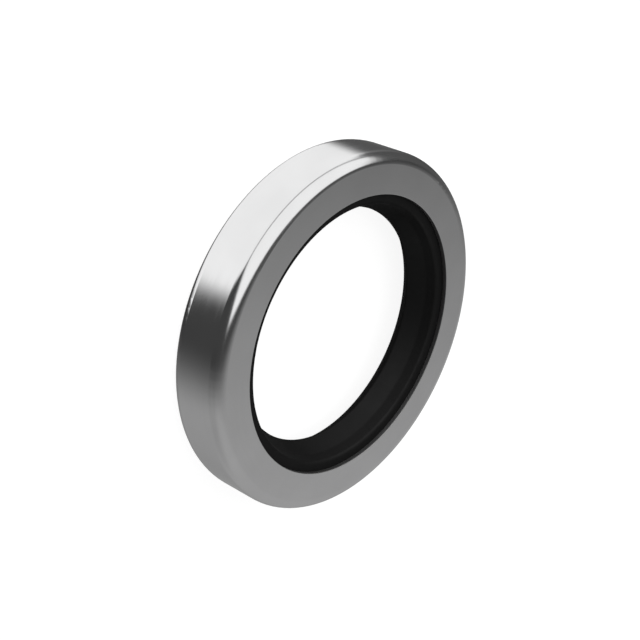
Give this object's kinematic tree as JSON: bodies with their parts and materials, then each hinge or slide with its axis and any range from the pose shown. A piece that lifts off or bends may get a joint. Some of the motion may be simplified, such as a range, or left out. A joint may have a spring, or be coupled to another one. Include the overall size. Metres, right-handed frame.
{
  "type": "oil seal",
  "caption": "Rotary shaft oil seal: a bare steel case pressed into a housing carries a black rubber lip that a garter spring holds against a turning shaft.",
  "frame": {"origin": "centre of the rear rim's plane, on the shaft's axis", "axes": "+Z along the shaft's axis, from the rear rim that the seal rests on up to the bare metal front face; the seal is the same all round, so X and Y are any two directions across it"},
  "size_m": [0.042, 0.042, 0.007],
  "materials": {
    "case_steel": "bare steel, outside wall and face fine ground round the axis",
    "inner_steel": "bare cold-rolled sheet, as pressed",
    "lip_rubber": "moulded black nitrile rubber, half matt",
    "spring_steel": "drawn spring wire, lightly oiled"
  },
  "bodies": {
    "root": {"outer_case": "case_steel", "inner_case": "inner_steel", "sealing_lip": "lip_rubber", "garter_spring": "spring_steel"}
  },
  "joints": []
}
